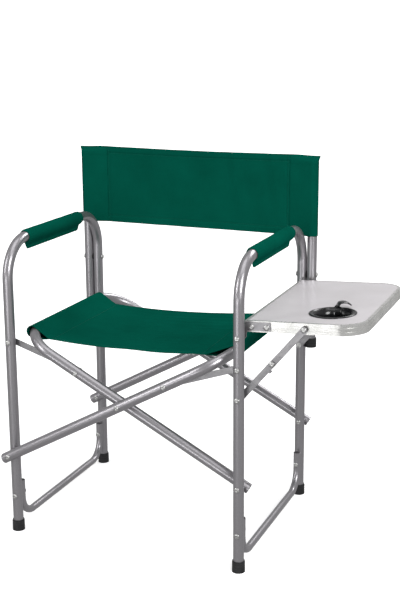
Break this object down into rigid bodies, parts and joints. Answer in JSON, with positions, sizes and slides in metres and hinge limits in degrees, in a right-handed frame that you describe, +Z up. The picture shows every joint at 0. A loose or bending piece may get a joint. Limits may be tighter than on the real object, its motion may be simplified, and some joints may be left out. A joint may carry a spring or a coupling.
{
  "type": "folding director chair",
  "caption": "Folding director chair: two tubular side frames joined by scissor tubes, fabric seat, back and arm covers, and a fold-down side table with a cup holder.",
  "frame": {"origin": "on the floor, under the middle of the bounding box of the open chair", "axes": "+Z up, -Y the way the sitter faces, +X towards the side table, which is at the left hand of the sitter"},
  "size_m": [0.7958, 0.4788, 0.797],
  "materials": {
    "frame_steel": "silver-grey powder coat, satin",
    "strap_steel": "zinc-plated flat steel, satin",
    "rivet_steel": "bright zinc",
    "black_plastic": "matt moulded",
    "cup_plastic": "glossy moulded",
    "tray_panel": "light grey laminate, satin",
    "tray_band": "extruded, bright anodised",
    "green_fabric": "dark green woven polyester"
  },
  "bodies": {
    "left_frame": {"left_side_frame": "frame_steel", "left_foot_rail": "frame_steel", "left_foot_rail_rivets": "rivet_steel", "left_foot_caps": "black_plastic", "left_arm_pad": "green_fabric", "left_back_post": "frame_steel", "left_post_cap": "black_plastic", "left_post_rivets": "rivet_steel", "left_post_washers": "black_plastic", "left_low_pivot_rivets": "rivet_steel", "left_low_pivot_spacers": "black_plastic", "left_link_pivot_rivets": "rivet_steel", "back_sling": "green_fabric"},
    "scissor_a": {"scissor_tube_a": "frame_steel", "scissor_tube_a_link_rivets": "rivet_steel", "centre_pivot_rivets": "rivet_steel", "centre_pivot_spacers": "black_plastic", "seat_sling": "green_fabric"},
    "scissor_b": {"scissor_tube_b": "frame_steel", "scissor_tube_b_link_rivets": "rivet_steel"},
    "right_frame": {"right_side_frame": "frame_steel", "right_foot_rail": "frame_steel", "right_foot_rail_rivets": "rivet_steel", "right_foot_caps": "black_plastic", "right_arm_pad": "green_fabric", "right_back_post": "frame_steel", "right_post_cap": "black_plastic", "right_post_rivets": "rivet_steel", "right_post_washers": "black_plastic", "right_low_pivot_rivets": "rivet_steel", "right_low_pivot_spacers": "black_plastic", "right_link_pivot_rivets": "rivet_steel", "table_hinge_rivets": "rivet_steel", "table_hinge_spacers": "black_plastic", "brace_leg_rivets": "rivet_steel", "brace_leg_spacers": "black_plastic"},
    "left_links": {"left_front_link": "strap_steel", "left_rear_link": "strap_steel", "left_link_rivet_heads": "rivet_steel"},
    "right_links": {"right_front_link": "strap_steel", "right_rear_link": "strap_steel", "right_link_rivet_heads": "rivet_steel"},
    "table": {"table_panel": "tray_panel", "table_edge_band": "tray_band", "table_brackets": "strap_steel", "table_bracket_rivets": "rivet_steel", "brace_table_rivets": "rivet_steel", "brace_table_spacers": "black_plastic", "cup_ring": "cup_plastic"},
    "lower_braces": {"front_lower_brace": "strap_steel", "rear_lower_brace": "strap_steel", "lower_brace_rivet_heads": "rivet_steel"},
    "upper_braces": {"front_upper_brace": "strap_steel", "rear_upper_brace": "strap_steel", "upper_brace_rivet_heads": "rivet_steel"},
    "cup_base": {"cup_base": "cup_plastic"}
  },
  "joints": [
    {"name": "fold", "type": "hinge", "parent": "left_frame", "child": "scissor_a", "pos_m": [-0.36177, 0, 0.179], "axis": [0, -1, 0], "range_deg": [0, 48.9], "deforming": ["back_sling"]},
    {"name": "centre_pivot", "type": "hinge", "parent": "scissor_a", "child": "scissor_b", "pos_m": [-0.10177, 0, 0.31941], "axis": [0, -1, 0], "range_deg": [-102.3, 0], "deforming": ["seat_sling"]},
    {"name": "right_frame_pivot", "type": "hinge", "parent": "scissor_b", "child": "right_frame", "pos_m": [0.15823, 0, 0.179], "axis": [0, -1, 0], "range_deg": [0, 49]},
    {"name": "left_link_pivot", "type": "hinge", "parent": "left_frame", "child": "left_links", "pos_m": [-0.36177, 0, 0.427], "axis": [0, -1, 0], "range_deg": [0, 91.8]},
    {"name": "right_link_pivot", "type": "hinge", "parent": "right_frame", "child": "right_links", "pos_m": [0.15823, 0, 0.427], "axis": [0, -1, 0], "range_deg": [-91.8, 0]},
    {"name": "table_fold", "type": "hinge", "parent": "right_frame", "child": "table", "pos_m": [0.15823, -0.0115, 0.4907], "axis": [0, 1, 0], "range_deg": [0, 90]},
    {"name": "lower_brace_pivot", "type": "hinge", "parent": "right_frame", "child": "lower_braces", "pos_m": [0.15823, -0.0115, 0.3655], "axis": [0, 1, 0], "range_deg": [-34.5, 0]},
    {"name": "upper_brace_pivot", "type": "hinge", "parent": "table", "child": "upper_braces", "pos_m": [0.28343, -0.0115, 0.51303], "axis": [0, 1, 0], "range_deg": [0, 43.9]},
    {"name": "cup_slide", "type": "slide", "parent": "table", "child": "cup_base", "axis": [-0.0384, 0, 0.9993], "range_m": [0, 0.017]}
  ],
  "couplings": [
    {"joint": "centre_pivot", "follows": "fold", "ratio": -2.09},
    {"joint": "right_frame_pivot", "follows": "fold", "ratio": 1},
    {"joint": "left_link_pivot", "follows": "fold", "ratio": 1.8664},
    {"joint": "right_link_pivot", "follows": "fold", "ratio": -1.8664},
    {"joint": "lower_brace_pivot", "follows": "table_fold", "ratio": -0.3742},
    {"joint": "upper_brace_pivot", "follows": "table_fold", "ratio": 0.4785}
  ]
}
